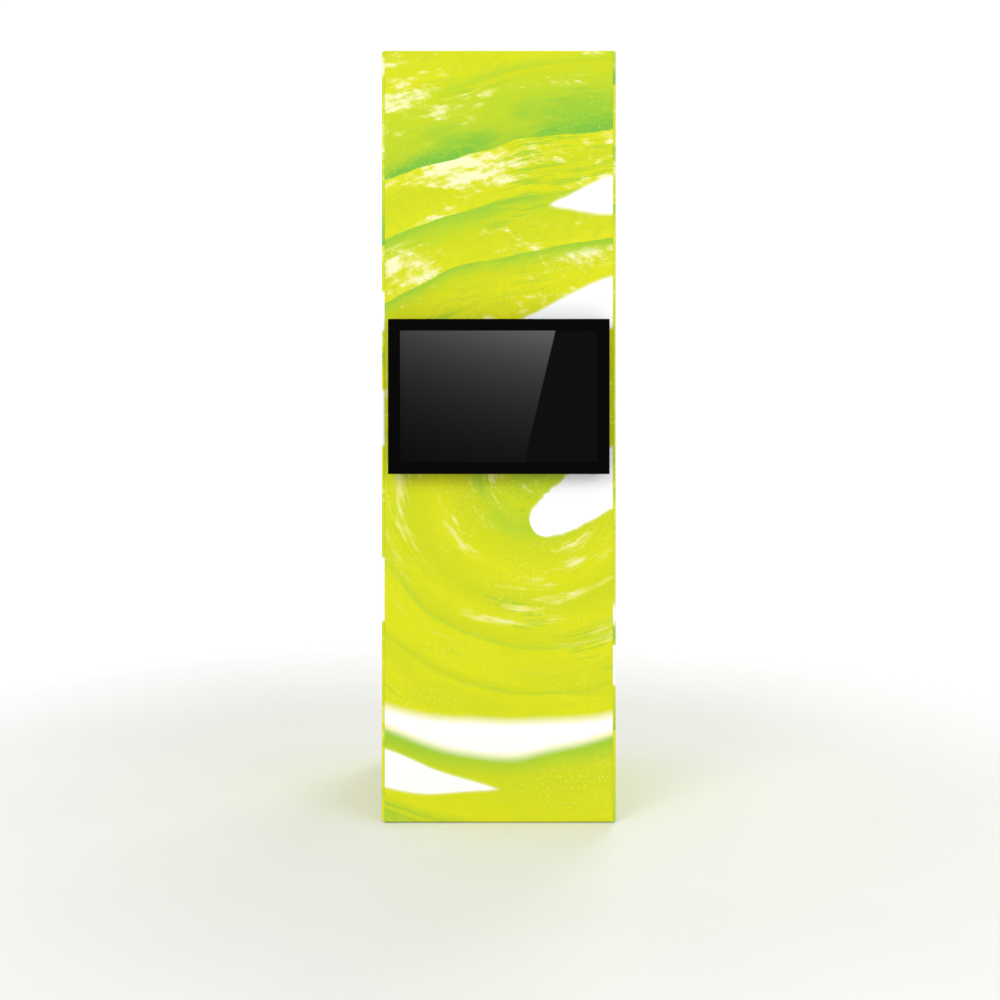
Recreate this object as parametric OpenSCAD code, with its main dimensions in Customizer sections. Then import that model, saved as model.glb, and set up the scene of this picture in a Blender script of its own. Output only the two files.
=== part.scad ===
// Free-standing touchscreen kiosk.
// A square tower of aluminium extrusions is dressed in tensioned printed fabric. A large touch
// display hangs in front of the fabric, and a lockable service door closes the rear.
// Origin: centre of the footprint, on the floor. +Z is up, and the display faces -Y.

/* [Tower] */
// Width and depth of the square tower, over its fabric
tower_side = 915; // [905:1:1000]
// Height of the tower's top edge above the floor
tower_h = 3018; // [2600:1:3100]
// Clear gap between the floor and the fabric
foot_gap = 4; // [4:0.5:6]
// Thickness of the printed fabric
cloth = 1; // [0.6:0.1:1]
// Radius of the tower's vertical corners, over the fabric
corner_r = 8; // [6:0.5:8]
// Distance from a side face to the seam where two fabrics meet
seam = 11.5; // [11.5:0.1:12]
// Height of the slope on each side's top and bottom edge
bevel_h = 5; // [2:0.5:5]

/* [Frame] */
// Side of the square extrusions
bar = 40; // [40:1:44]
// Wall thickness of the extrusions
wall = 3; // [2.5:0.1:3]
// Height of the rails that carry the shelf, at their underside
shelf_rail_z = 1100; // [1060:5:1180]
// Height of the rail over the service door, at its underside
header_z = 1990; // [1960:5:2100]
// Thickness of the steel base plate
base_t = 6; // [4:1:8]
// Distance between neighbouring floor anchor holes
anchor_pitch = 600; // [400:10:640]

/* [Display] */
// Width of the display
disp_w = 854; // [850:1:860]
// Height of the display
disp_h = 598; // [590:1:604]
// Width of the bezel at the left and right
bezel_side = 45; // [43:0.5:47]
// Width of the bezel at the top and bottom
bezel_top = 44.5; // [43:0.5:46]
// Depth of the display
disp_d = 58; // [56:1:60]
// Height of the display's centre above the floor
disp_z = 1667; // [1600:1:1700]
// Gap between the display and the fabric
disp_gap = 12; // [10:1:16]
// Distance between neighbouring display bolts
vesa = 400; // [380:10:400]

/* [Service door] */
// Thickness of the door leaf
door_t = 25; // [22:1:26]
// Width of the door's stiles and rails
stile = 30; // [28:1:32]
// Height of the fixed panel under the door
kick_h = 120; // [110:5:140]
// Height of the lock
lock_z = 1010; // [980:5:1020]

/* [Hidden] */
$fn = 64;
half = tower_side / 2;
face = half - cloth;                   // outer face of the frame, from the centre
z_low = foot_gap + cloth;              // underside of the frame
z_top = tower_h - cloth;               // upper side of the frame
inner = face - bar;                    // inner face of the posts and rails
post_z0 = z_low + bar;
post_z1 = z_top - bar;
core_at = 15;                          // from the outer face to the core of an extrusion
core = bar - wall - core_at;
ledge_w = 12;                          // inner ledge of a ring rail
far = 2 * tower_h;                     // longer than anything, for cutting tools

seam_gap = 0.2;                        // between two fabrics at a seam
lip_t = 3;                             // silicone lip sewn to the edge of each fabric
lip_d = 9;
groove_d = 10;
play = 0.2;
edge_in = seam - seam_gap / 2;         // fabric edge, from the tower's outer face
lip_in = edge_in - lip_t;
header_seam = header_z + 15;           // lower edge of the fabric over the door

grub_r = 3;
screw_r = 2.9;
hole_r = 3;
head_r = 5;
head_h = 3;
eps = 0.01;

anchor_r = 7;
bracket_l = 30;
bracket_w = 30;
bracket_screw = 18;                    // screw place along each arm of a bracket

foot_r = 18;
foot_t = 3;
stem_r = 5;
fit = 0.05;                            // radial clearance of a shaft in its hole
core_mid = core_at + core / 2;         // middle of a post's core, from either outer face
sleeve = 90;                           // reach of a corner connector's arms

disp_front = -(half + disp_gap + disp_d);
disp_back = -(half + disp_gap);
bezel_lip = 3.2;                       // front thickness of the bezel
bezel_d = 30;                          // depth of the bezel's side walls
bezel_wall = 3;
open_w = disp_w - 2 * bezel_side;
open_h = disp_h - 2 * bezel_top;
frame_y = disp_front + bezel_lip;      // touch frame
frame_d = 4.9;
glass_y = frame_y + frame_d + 0.1;
glass_d = 4;
lcd_y = glass_y + glass_d + 0.6;
lcd_d = 3.5;
tray_y = lcd_y + lcd_d;
tray_d = 12;
tray_w = disp_w - 44;
tray_h = disp_h - 43;
cover_step = disp_front + bezel_d;     // where the rear cover narrows
cover_wall = 2.5;
cover_w = disp_w - 34;
cover_h = disp_h - 34;
skirt_d = 6;                           // clears the keys inside the bezel
rail_set = 5;                          // display rails stand this far behind the fabric
rail_y = -face + rail_set;
spacer_r = 12;
bolt_r = 4;
bolt_hole_r = 4.4;
boss_r = 4.5;
key_y = disp_front + 16;               // line of the keys under the display
key_r = 3.5;
key_out = 1.2;                         // keys stand this far out
power_key_x = 300;
input_key_x = 325;
volume_x = 362;
rocker_w = 27;
rocker_pin_z = 6;                      // above the display's underside
lead_z = disp_z - 100;                 // height of the hole for the display's leads
board_gap = 5;
speaker_d = 20;

gap = 3;                               // running gap round the door
leaf_x = inner - gap;
leaf_z0 = post_z0 + kick_h + gap;
leaf_z1 = header_z - gap;
leaf_y = face - door_t;
panel_t = 3;
panel_in = 8;                          // visible border of the door frame
hinge_r = 6;
hinge_pin_r = 3;
hinge_t = 2.5;
hinge_w = 26;
hinge_h = 90;
hinge_x = inner - gap / 2;
hinge_y = face + hinge_r + 0.5;
hinge_arm = 9;                         // from the hinge's axis to its plate
hinge_in = 150;                        // outer hinges, from the ends of the leaf
hinge_zs = [leaf_z0 + hinge_in, (leaf_z0 + leaf_z1) / 2, leaf_z1 - hinge_in];
hinge_screw_x = 16;                    // from the hinge's axis to its screws
hinge_screw_z = 30;
lock_x = -(leaf_x - stile / 2);
lock_r = 9;
plug_r = 5;
cam_t = 3;
cam_y = inner - 0.6 - cam_t;
cam_l = 32;

kick_t = 3;
inlet_x = 300;
inlet_z = post_z0 + kick_h / 2;
inlet_w = 74;
inlet_h = 50;
switch_x = inlet_x + 20;
switch_tilt = 10;                      // the rocker rests this far from level

shelf_z = shelf_rail_z + bar;
shelf_t = 2;
shelf_y = 150;
player = [200, 170, 40];
player_x = 60;
player_z = shelf_z + shelf_t;
strip = [300, 52, 40];
strip_x = -230;
strip_y = 40;
lead_up = 20;                          // the leads lie this far above the shelf

// ---- Shared shapes ----------------------------------------------------------------------

// A box given by its middle in x and y, and its lowest z.
module slab(size, at = [0, 0, 0]) {
    translate(at - [size[0] / 2, size[1] / 2, 0]) cube(size);
}

// A box that spans two y values, centred on x and on the display's height.
module pane(w, h, y0, y1) {
    translate([-w / 2, y0, disp_z - h / 2]) cube([w, y1 - y0, h]);
}

// A cylinder along +Y.
module y_rod(r, y0, y1, x = 0, z = 0) {
    translate([x, y0, z]) rotate([-90, 0, 0]) cylinder(r = r, h = y1 - y0);
}

// Places a child in a corner: its +X and +Y then run inwards from the frame's outer faces.
module at_corner(sx, sy) {
    translate([sx * face, sy * face, 0])
        mirror([sx > 0 ? 1 : 0, 0, 0]) mirror([0, sy > 0 ? 1 : 0, 0]) children();
}

// Turns a child that belongs to the bottom ring upside down, into the top ring.
module to_top(top) {
    if (top) translate([0, 0, z_low + z_top]) mirror([0, 0, 1]) children();
    else children();
}

module each_corner() {
    for (sx = [-1, 1], sy = [-1, 1]) at_corner(sx, sy) children();
}

// The tower's outer form, moved inwards on every side.
module tower_form(inset) {
    s = half - inset;
    r = corner_r - inset;
    lo = foot_gap + inset;
    hi = tower_h - inset;
    intersection() {
        translate([0, 0, lo]) linear_extrude(hi - lo) union() {
            square([2 * s, 2 * (s - r)], center = true);
            square([2 * (s - r), 2 * s], center = true);
            for (sx = [-1, 1], sy = [-1, 1]) translate([sx * (s - r), sy * (s - r)]) circle(r);
        }
        rotate([90, 0, 0]) linear_extrude(far, center = true) polygon([
            [-s, lo + bevel_h], [-half + seam, lo], [half - seam, lo], [s, lo + bevel_h],
            [s, hi - bevel_h], [half - seam, hi], [-half + seam, hi], [-s, hi - bevel_h]
        ]);
    }
}

// Vertical grooves, one at each corner, that hold the lips of the two fabrics meeting there.
module seam_grooves() {
    each_corner()
        translate([lip_in - cloth - play, -eps, 0])
            cube([2 * lip_t + seam_gap + 2 * play, groove_d + eps, far]);
}

// ---- Places of the frame's screws -------------------------------------------------------

// Set screws that lock the corner connectors: the child's +Z runs into the metal.
module at_grub_screws() {
    for (top = [false, true]) to_top(top) each_corner() {
        translate([sleeve - 20, bar, z_low + bar / 2]) rotate([90, 0, 0]) children();
        translate([bar, sleeve - 20, z_low + bar / 2]) rotate([0, -90, 0]) children();
        translate([bar, core_mid, post_z0 + 35]) rotate([0, -90, 0]) children();
    }
}

// Screws through the base plate and the roof panel into the ledges.
module at_panel_screws(top, thick) {
    out = 300;
    to_top(top) for (k = [0 : 3], x = [-out, out])
        rotate([0, 0, 90 * k]) translate([x, inner - ledge_w / 2, z_low + wall + thick])
            rotate([180, 0, 0]) children();
}

// Angle brackets that hold the inner rails: [place, turn about Z, above the rail].
bracket_places = concat(
    [for (s = [-1, 1], z = [-1, 1])
        [[s * inner, rail_y + bar / 2, disp_z + z * vesa / 2 - bar / 2], s > 0 ? 180 : 0, false]],
    [for (sx = [-1, 1], sy = [-1, 1])
        [[sx * (inner + bar / 2), sy * inner, shelf_rail_z], sy > 0 ? -90 : 90, false]],
    [for (s = [-1, 1]) [[s * inner, inner + core, header_z + bar], s > 0 ? 180 : 0, true]]
);

// The child's +X runs along the rail, and its -Z down the post.
module at_brackets() {
    for (b = bracket_places)
        translate(b[0]) rotate([0, 0, b[1]]) mirror([0, 0, b[2] ? 1 : 0]) children();
}

// The two screws of each bracket: the child's +Z runs into the metal.
module at_bracket_screws() {
    at_brackets() {
        translate([wall, 0, -bracket_screw]) rotate([0, -90, 0]) children();
        translate([bracket_screw, 0, -wall]) children();
    }
}

module screw(shank) {
    translate([0, 0, -head_h]) cylinder(r = head_r, h = head_h);
    translate([0, 0, -eps]) cylinder(r = screw_r, h = shank + eps);
}

module screw_holes() {
    at_grub_screws() translate([0, 0, -eps]) cylinder(r = grub_r + fit, h = wall + 2 * eps);
    at_bracket_screws() translate([0, 0, wall - eps]) cylinder(r = hole_r, h = wall + 2 * eps);
    at_hinge_screws(1) cylinder(r = hole_r, h = hinge_t + wall + eps);
}

// Clearance holes through a plate, for a child of the two panel screw places.
module plate_holes(top, thick) {
    at_panel_screws(top, thick)
        translate([0, 0, -1]) cylinder(r = hole_r + 0.2, h = thick + 2);
}

// Screws of the hinge plates on the door (side -1) or on the post (side 1).
module at_hinge_screws(side) {
    for (z = hinge_zs, k = [-1, 1])
        translate([hinge_x + side * hinge_screw_x, face + hinge_t, z + k * hinge_screw_z])
            rotate([90, 0, 0]) children();
}

// ---- Frame ------------------------------------------------------------------------------

module post(sx, sy) {
    color([0.75, 0.76, 0.78]) difference() {
        at_corner(sx, sy) translate([0, 0, post_z0]) linear_extrude(post_z1 - post_z0)
            difference() {
                union() {
                    r = corner_r - cloth;
                    translate([r, 0]) square([bar - r, bar]);
                    translate([0, r]) square([bar, bar - r]);
                    translate([r, r]) circle(r);
                }
                translate([core_at, core_at]) square(core);
                translate([wall, core_at - 1]) square([9, core + 1]);
                translate([core_at + 2, wall]) square([core - 2, 9]);
            }
        seam_grooves();
        screw_holes();
    }
}

// Plan of one mitred rail. The corner outside the seam groove belongs to the side rails.
module mitre(side) {
    tip = lip_in - cloth - play;
    near = face - bar - 20;
    difference() {
        polygon([[-face, -face], [face, -face], [near, -near], [-near, -near]]);
        if (!side) for (s = [-1, 1])
            translate([s * (face - tip / 2), -face]) square([tip, 2 * tip], center = true);
    }
    if (side) for (s = [-1, 1])
        translate([s * (face - tip / 2), -face + tip / 2]) square(tip, center = true);
}

// One mitred rail of the bottom or top ring, k quarter turns from the front.
module ring_rail(k, top) {
    color([0.75, 0.76, 0.78]) difference() {
        intersection() {
            to_top(top) rotate([0, 0, 90 * k]) intersection() {
                translate([-face, -face, z_low]) rotate([90, 0, 90]) linear_extrude(2 * face)
                    difference() {
                        union() {
                            square(bar);
                            translate([bar, 0]) square([ledge_w, wall]);
                        }
                        translate([core_at, wall]) square([core, bar - 2 * wall]);
                        translate([lip_in - cloth - play, -eps])
                            square([lip_t + 2 * play, groove_d + eps]);
                    }
                linear_extrude(far) mitre(k % 2 == 1);
            }
            tower_form(cloth);
        }
        seam_grooves();
        to_top(top) each_corner() {
            translate([core_at, core_at, z_low + wall]) cube([core, core, bar]);
            if (!top) translate([core_mid, core_mid, 0]) cylinder(r = stem_r + 2, h = z_low + bar);
        }
        at_panel_screws(top, 0) translate([0, 0, -eps]) cylinder(r = hole_r, h = wall + 1);
        screw_holes();
    }
}

module tube(length) {
    rotate([90, 0, 90]) linear_extrude(length, center = true) difference() {
        square(bar, center = true);
        square(bar - 2 * wall, center = true);
    }
}

module shelf_rails() {
    color([0.75, 0.76, 0.78]) difference() {
        for (s = [-1, 1])
            translate([s * (inner + bar / 2), 0, shelf_rail_z + bar / 2])
                rotate([0, 0, 90]) tube(2 * inner);
        screw_holes();
    }
}

module display_rails() {
    color([0.75, 0.76, 0.78]) difference() {
        for (s = [-1, 1])
            translate([0, rail_y + bar / 2, disp_z + s * vesa / 2]) tube(2 * inner);
        screw_holes();
        at_display_bolts() y_rod(bolt_hole_r, rail_y - 1, rail_y + bar + 1);
    }
}

module door_header() {
    color([0.75, 0.76, 0.78]) difference() {
        translate([-inner, inner, header_z]) cube([2 * inner, bar, bar]);
        translate([-inner - 1, inner + wall, header_z + wall])
            cube([2 * inner + 2, core, bar - 2 * wall]);
        translate([-inner - 1, face - groove_d, header_seam - play])
            cube([2 * inner + 2, groove_d + 1, lip_t + 2 * play]);
        screw_holes();
    }
}

// Three-armed blocks inside the corners. The lower four carry the feet.
module corner_connectors() {
    side = core - 2 * play;
    at = core_at + play;
    color([0.35, 0.36, 0.38]) for (top = [false, true]) to_top(top) each_corner()
        difference() {
            translate([at, at, z_low + wall + play]) union() {
                h = bar - 2 * wall - 2 * play;
                cube([sleeve - at, side, h]);
                cube([side, sleeve - at, h]);
                cube([side, side, sleeve - wall - play]);
            }
            translate([core_mid, core_mid, 0]) cylinder(r = stem_r + fit, h = far);
        }
}

module rail_brackets() {
    color([0.5, 0.51, 0.53]) difference() {
        at_brackets() {
            translate([0, -bracket_w / 2, -bracket_l]) cube([wall, bracket_w, bracket_l]);
            translate([0, -bracket_w / 2, -wall]) cube([bracket_l, bracket_w, wall]);
        }
        at_bracket_screws() translate([0, 0, -1]) cylinder(r = hole_r + 0.2, h = wall + 1.5);
    }
}

module frame_screws() {
    color([0.6, 0.6, 0.62]) {
        at_grub_screws() translate([0, 0, -1]) cylinder(r = grub_r, h = wall + play + 1);
        at_bracket_screws() screw(wall + 6);
        at_hinge_screws(1) screw(hinge_t + wall + 4);
        at_panel_screws(false, base_t) screw(base_t + wall);
        at_panel_screws(true, panel_t) screw(panel_t + wall);
    }
}

module base_plate() {
    w = 2 * (inner - 1);
    color([0.22, 0.22, 0.24]) difference() {
        slab([w, w, base_t], [0, 0, z_low + wall]);
        for (sx = [-1, 1], sy = [-1, 1])
            translate([sx, sy, 0] * anchor_pitch / 2) cylinder(r = anchor_r, h = 60);
        plate_holes(false, base_t);
    }
}

// Closes the top, under the upper ledge, with vent slots over the equipment.
module roof_panel() {
    w = 2 * (inner - 1);
    slots = 9;
    slot = [180, 8, 20];
    pitch = 24;
    color([0.55, 0.56, 0.58]) difference() {
        slab([w, w, panel_t], [0, 0, z_top - wall - panel_t]);
        for (i = [0 : slots - 1], x = [-150, 150])
            slab(slot, [x, (i - (slots - 1) / 2) * pitch, z_top - 15]);
        plate_holes(true, panel_t);
    }
}

module foot(sx, sy) {
    color([0.15, 0.15, 0.16]) at_corner(sx, sy) translate([core_mid, core_mid, 0]) {
        cylinder(r = foot_r, h = foot_t);
        cylinder(r = stem_r + 3, h = z_low - 0.4);
        cylinder(r = stem_r, h = z_low + 60);
    }
}

// ---- Fabric -----------------------------------------------------------------------------

module at_display_bolts() {
    for (sx = [-1, 1], sz = [-1, 1])
        translate([sx * vesa / 2, 0, disp_z + sz * vesa / 2]) children();
}

// The fabric layer of the tower, cut to the box from lo to hi.
module fabric(lo, hi) {
    color([0.85, 0.89, 0.16]) intersection() {
        difference() {
            tower_form(0);
            tower_form(cloth);
        }
        translate(lo) cube(hi - lo);
    }
}

module front_graphic() {
    difference() {
        fabric([-half + seam + seam_gap / 2, -half - 1, 0],
               [half - seam - seam_gap / 2, -half + edge_in, tower_h + 1]);
        at_display_bolts() y_rod(spacer_r + 1, -half - 1, -half + cloth + 1);
        y_rod(22, -half - 1, -half + cloth + 1, 0, lead_z);
    }
}

module side_graphic(s) {
    mirror([s < 0 ? 1 : 0, 0, 0])
        fabric([half - edge_in, -half - 1, 0], [half + 1, half + 1, tower_h + 1]);
}

module rear_graphic() {
    fabric([-half + seam + seam_gap / 2, half - edge_in, header_seam],
           [half - seam - seam_gap / 2, half + 1, tower_h + 1]);
}

// Silicone lips along the edges of the four fabrics, pressed into the grooves.
module graphic_lips() {
    end_in = 15;                       // upright lips stop short of the level ones
    drop = 2;                          // side lips start lower, under the sloped edge
    side_at = lip_in - cloth;
    front_at = side_at + lip_t + seam_gap;
    color([0.9, 0.9, 0.88]) {
        each_corner() translate([side_at, 0, z_low + end_in])
            cube([lip_t, lip_d, z_top - z_low - 2 * end_in]);
        for (sx = [-1, 1]) {
            at_corner(sx, -1) translate([front_at, 0, z_low + end_in])
                cube([lip_t, lip_d, z_top - z_low - 2 * end_in]);
            at_corner(sx, 1) translate([front_at, 0, header_seam + end_in])
                cube([lip_t, lip_d, z_top - header_seam - 2 * end_in]);
        }
        for (top = [false, true]) to_top(top) {
            long = 2 * (half - seam - lip_t - 2);
            for (sx = [-1, 1])
                slab([lip_t, long, lip_d - drop], [sx * (half - lip_in - lip_t / 2), 0, z_low + drop]);
            for (sy = top ? [-1, 1] : [-1])
                slab([long, lip_t, lip_d], [0, sy * (half - lip_in - lip_t / 2), z_low]);
        }
        translate([-inner + 2, face - lip_d, header_seam]) cube([2 * inner - 4, lip_d, lip_t]);
    }
}

// ---- Mains inlet and the panel under the door ---------------------------------------------

module kick_panel() {
    w = 2 * (inner - 0.5);
    flange = 25;
    color([0.72, 0.73, 0.75]) difference() {
        translate([-w / 2, face - flange, post_z0]) cube([w, flange, kick_h]);
        translate([-w / 2 - 1, face - flange - 1, post_z0 + kick_t])
            cube([w + 2, flange + 1 - kick_t, kick_h - 2 * kick_t]);
        translate([inlet_x - inlet_w / 2 + 4, face - 10, inlet_z - inlet_h / 2 + 4])
            cube([inlet_w - 8, 20, inlet_h - 8]);
    }
}

// Moulded inlet: a flanged body with a socket for a mains lead and a pocket for the rocker.
module power_inlet() {
    socket_x = inlet_x - 14;
    depth = 22;
    color([0.1, 0.1, 0.1]) {
        difference() {
            union() {
                translate([inlet_x - inlet_w / 2, face, inlet_z - inlet_h / 2])
                    cube([inlet_w, 3, inlet_h]);
                translate([inlet_x - inlet_w / 2 + 4.5, face - depth, inlet_z - inlet_h / 2 + 4.5])
                    cube([inlet_w - 9, depth + 1, inlet_h - 9]);
            }
            translate([socket_x - 13, face - 16, inlet_z - 9]) cube([26, 30, 18]);
            translate([switch_x - 8, face - 13, inlet_z - 12]) cube([16, 30, 24]);
            translate([switch_x - 9.5, face - 1, inlet_z]) rotate([0, 90, 0])
                cylinder(r = 1.5 + fit, h = 19);
        }
        for (i = [-1, 0, 1]) translate([socket_x + 6 * i - 1, face - 17, inlet_z - 3 + abs(i) * 2 - 1])
            cube([2, 14, 5]);
    }
}

// The rocker turns on two stubs. It rests tilted to one side.
module inlet_switch() {
    color([0.75, 0.1, 0.08]) translate([switch_x, face - 1, inlet_z]) rotate([-switch_tilt, 0, 0]) {
        rotate([90, 0, 90]) linear_extrude(15, center = true)
            polygon([[-5, -7], [4, -10], [2, 0], [4, 10], [-5, 7]]);
        rotate([0, 90, 0]) cylinder(r = 1.5, h = 18, center = true);
    }
}

// ---- Display ----------------------------------------------------------------------------

module display_spacers() {
    color([0.3, 0.3, 0.32]) at_display_bolts() difference() {
        y_rod(spacer_r, disp_back, rail_y);
        y_rod(bolt_hole_r, disp_back - 1, rail_y + 1);
    }
}

module display_bolts() {
    color([0.55, 0.55, 0.57]) at_display_bolts() {
        y_rod(bolt_r, tray_y + tray_d + 4, rail_y + bar + eps);
        difference() {
            y_rod(6.5, rail_y + bar, rail_y + bar + 8);
            translate([0, rail_y + bar + 3, 0]) rotate([-90, 0, 0]) cylinder(r = 3.4, h = 9, $fn = 6);
        }
    }
}

// Places of the screws that join the rear cover to the bezel.
module at_cover_screws() {
    side_x = disp_w / 2 - 12;
    top_z = disp_h / 2 - 13;
    for (s = [-1, 1]) {
        for (z = [-250, 0, 250]) translate([s * side_x, 0, disp_z + z]) children();
        for (x = [-150, 150]) translate([x, 0, disp_z + s * top_z]) children();
    }
}

module bezel() {
    inner_w = disp_w - 2 * bezel_wall;
    inner_h = disp_h - 2 * bezel_wall;
    floor_z = disp_z - disp_h / 2;
    color([0.02, 0.02, 0.02]) difference() {
        union() {
            difference() {
                pane(disp_w, disp_h, disp_front, cover_step);
                pane(inner_w, inner_h, frame_y, cover_step + 1);
                pane(open_w, open_h, disp_front - 1, cover_step);
            }
            at_cover_screws() y_rod(boss_r, frame_y - 1, cover_step - cover_wall);
            for (s = [-1, 1]) slab([6, 2.5, 9], [volume_x, key_y + s * 5.5, floor_z + 1]);
        }
        at_cover_screws() y_rod(1.6, frame_y, cover_step);
        for (x = [power_key_x, input_key_x])
            translate([x, key_y, floor_z - 1]) cylinder(r = key_r, h = bezel_wall + 2);
        slab([rocker_w, 2 * key_r + 0.4, 2 * bezel_wall], [volume_x, key_y, floor_z - 1]);
        y_rod(1.2 + fit, key_y - 8, key_y + 8, volume_x, floor_z + rocker_pin_z);
    }
}

module touch_frame() {
    color([0.08, 0.03, 0.05]) difference() {
        pane(open_w + 36, open_h + 36, frame_y, frame_y + frame_d);
        pane(open_w + 2, open_h + 2, frame_y - 1, frame_y + frame_d + 1);
    }
}

module touch_glass() {
    color([0.05, 0.05, 0.06]) pane(open_w + 26, open_h + 26, glass_y, glass_y + glass_d);
}

module lcd_panel() {
    color([0.03, 0.03, 0.04]) pane(open_w + 26, open_h + 26, lcd_y, lcd_y + lcd_d);
}

// Shallow steel tray behind the panel, with threaded bosses for the display bolts.
module backlight_tray() {
    t = 1.5;
    back = tray_y + tray_d;
    color([0.6, 0.61, 0.63]) difference() {
        union() {
            difference() {
                pane(tray_w, tray_h, tray_y, back);
                pane(tray_w - 2 * t, tray_h - 2 * t, tray_y - 1, back - t);
            }
            at_display_bolts() y_rod(9, back - t, disp_back - cover_wall - 0.2);
        }
        at_display_bolts() y_rod(bolt_r + fit, back - t - 1, disp_back);
    }
}

// The mains board and the signal board, side by side on short pillars.
module circuit_boards() {
    back = tray_y + tray_d;
    board_y = back + board_gap;
    board_t = 1.6;
    color([0.08, 0.32, 0.14]) for (s = [-1, 1]) translate([s * 90, 0, disp_z + 20]) {
        for (x = [-60, 60], z = [-60, 60]) y_rod(3, back, board_y + eps, x, z);
        translate([-70, board_y, -75]) cube([140, board_t, 150]);
        for (i = [0 : 3])
            translate([-55 + 30 * i, board_y + board_t - eps, -55 + 22 * i])
                cube([18, 4 + 2 * (i % 3), 14 + 6 * (i % 2)]);
        y_rod(9, board_y + board_t - eps, board_y + 12, -40, 45);
        y_rod(7, board_y + board_t - eps, board_y + 11, 45, -45);
    }
}

module speakers() {
    box_y = tray_y + tray_d;
    box_back = box_y + speaker_d;
    color([0.12, 0.12, 0.13]) for (s = [-1, 1]) translate([s * 290, 0, disp_z - 215]) difference() {
        translate([-65, box_y, -24]) cube([130, speaker_d, 48]);
        y_rod(18, box_back - 6, box_back + 1, -30);
        y_rod(12, box_back - 4, box_back + 1, 35);
    }
}

// Two-step shell with louvres near its top and bottom, and a hole for the leads.
module rear_cover() {
    skirt_w = disp_w - 2 * bezel_wall - 1;
    skirt_h = disp_h - 2 * bezel_wall - 1;
    t = 2 * cover_wall;
    louvres = 22;
    pitch = 26;
    color([0.06, 0.06, 0.06]) difference() {
        union() {
            pane(skirt_w, skirt_h, cover_step - skirt_d, cover_step);
            pane(cover_w, cover_h, cover_step - 1, disp_back);
        }
        pane(skirt_w - t, skirt_h - t, cover_step - skirt_d - 1, cover_step - cover_wall);
        pane(cover_w - t, cover_h - t, cover_step - skirt_d, disp_back - cover_wall);
        for (i = [0 : louvres - 1], s = [-1, 1])
            translate([(i - (louvres - 1) / 2) * pitch, disp_back - 5, disp_z + s * 235 - 18])
                cube([5, 10, 36]);
        at_display_bolts() y_rod(bolt_hole_r, disp_back - 5, disp_back + 1);
        at_cover_screws() y_rod(1.8, cover_step - 5, cover_step + 1);
        y_rod(16, disp_back - 5, disp_back + 1, 0, lead_z);
    }
}

module cover_screws() {
    color([0.3, 0.3, 0.3]) at_cover_screws() {
        y_rod(1.5, cover_step - 12, cover_step + eps);
        y_rod(3, cover_step, cover_step + 2.2);
    }
}

// A key under the display, held behind the bezel's wall by its collar.
module key(x) {
    color([0.12, 0.12, 0.12]) translate([x, key_y, disp_z - disp_h / 2]) {
        translate([0, 0, -key_out]) cylinder(r = key_r - 0.07, h = bezel_wall + key_out + eps);
        translate([0, 0, bezel_wall]) cylinder(r = key_r + 1.5, h = 1.5);
    }
}

// The rocker turns on a stub held by two lugs inside the bezel.
module volume_rocker() {
    color([0.12, 0.12, 0.12]) translate([volume_x, key_y, disp_z - disp_h / 2]) {
        slab([rocker_w - 1.4, 2 * key_r - 0.6, 6], [0, 0, -key_out]);
        slab([5, 2 * key_r - 0.6, 9], [0, 0, -key_out]);
        y_rod(1.2, -6.7, 6.7, 0, rocker_pin_z);
    }
}

// ---- Service door -----------------------------------------------------------------------

module door_frame() {
    w = 2 * leaf_x;
    h = leaf_z1 - leaf_z0;
    t = 2;
    color([0.72, 0.73, 0.75]) difference() {
        translate([-leaf_x, leaf_y, leaf_z0]) cube([w, door_t, h]);
        for (hi = [false, true]) {
            z = hi ? (leaf_z0 + leaf_z1 + stile) / 2 : leaf_z0 + stile;
            translate([-leaf_x + stile, leaf_y - 1, z])
                cube([w - 2 * stile, door_t + 2, (h - 3 * stile) / 2]);
        }
        translate([-leaf_x + panel_in, face - panel_t, leaf_z0 + panel_in])
            cube([w - 2 * panel_in, panel_t + 1, h - 2 * panel_in]);
        for (s = [-1, 1]) translate([s * (leaf_x - stile / 2), 0, 0])
            translate([-stile / 2 + t, leaf_y + t, leaf_z0 - 1])
                cube([stile - 2 * t, door_t - panel_t - 2 * t, h + 2]);
        y_rod(lock_r + 0.1, leaf_y - 1, face + 1, lock_x, lock_z);
        at_hinge_screws(-1) cylinder(r = hole_r, h = hinge_t + 9);
    }
}

module door_panel() {
    in = panel_in + play;
    color([0.85, 0.89, 0.16]) difference() {
        translate([-leaf_x + in, face - panel_t, leaf_z0 + in])
            cube([2 * (leaf_x - in), panel_t, leaf_z1 - leaf_z0 - 2 * in]);
        y_rod(lock_r + 0.1, leaf_y - 1, face + 1, lock_x, lock_z);
        at_hinge_screws(-1) cylinder(r = hole_r, h = hinge_t + 9);
    }
}

// One side of a butt hinge: a plate, and knuckles that share its barrel with the other side.
module hinge_leaf(side, knuckles) {
    third = hinge_h / 3;
    plate = hinge_w - hinge_arm;
    difference() {
        union() {
            for (k = knuckles) translate([hinge_x, 0, -hinge_h / 2 + k * third + 0.15]) {
                translate([0, hinge_y, 0]) cylinder(r = hinge_r, h = third - 0.3);
                translate([side < 0 ? -hinge_arm : 0, face, 0])
                    cube([hinge_arm, hinge_t, third - 0.3]);
            }
            translate([hinge_x + side * (hinge_arm - 1 + plate / 2) - plate / 2, face, -hinge_h / 2])
                cube([plate, hinge_t, hinge_h]);
        }
        translate([hinge_x, hinge_y, -hinge_h]) cylinder(r = hinge_pin_r + fit, h = 2 * hinge_h);
    }
}

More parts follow.
